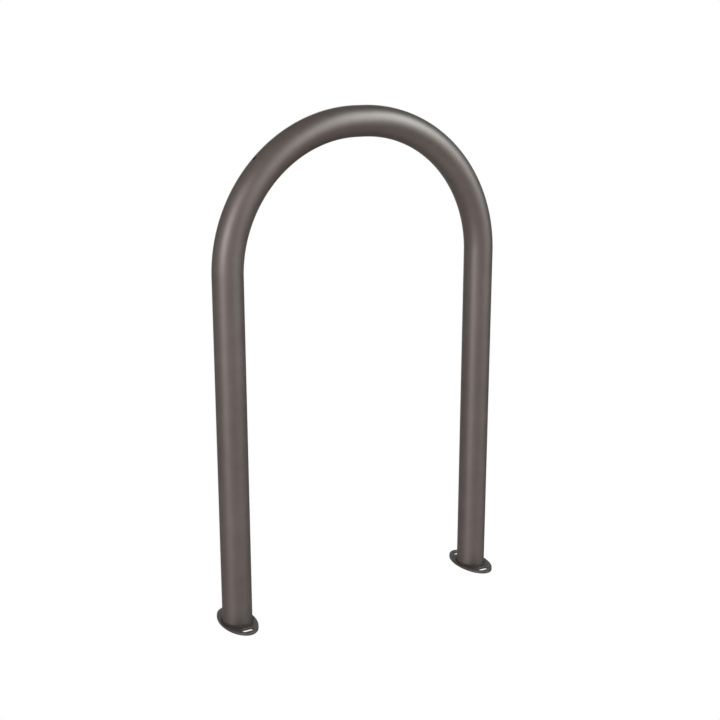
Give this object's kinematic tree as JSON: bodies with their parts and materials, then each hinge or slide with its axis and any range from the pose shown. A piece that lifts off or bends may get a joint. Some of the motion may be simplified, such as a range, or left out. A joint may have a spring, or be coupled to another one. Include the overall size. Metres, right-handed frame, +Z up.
{
  "type": "hoop bike rack",
  "caption": "Inverted-U bike rack: a bent steel pipe welded to elliptical base plates with cross-wise anchor slots.",
  "frame": {"origin": "on the ground plane, under the middle of the hoop, midway between the two legs and midway through the base plates", "axes": "+X from the left leg to the right leg, +Y through the hoop away from the viewer, +Z up"},
  "size_m": [0.5138, 0.1048, 0.8122],
  "materials": {
    "coated_pipe": "semi-matte fine-textured bronze-grey powder coat on steel",
    "coated_plate": "the same powder coat on flat steel plate, thinner along the cut edges",
    "coated_weld": "the same powder coat over a rippled fillet weld"
  },
  "bodies": {
    "root": {"hoop_tube": "coated_pipe", "base_plate_left": "coated_plate", "base_plate_right": "coated_plate", "weld_bead_left": "coated_weld", "weld_bead_right": "coated_weld"}
  },
  "joints": []
}
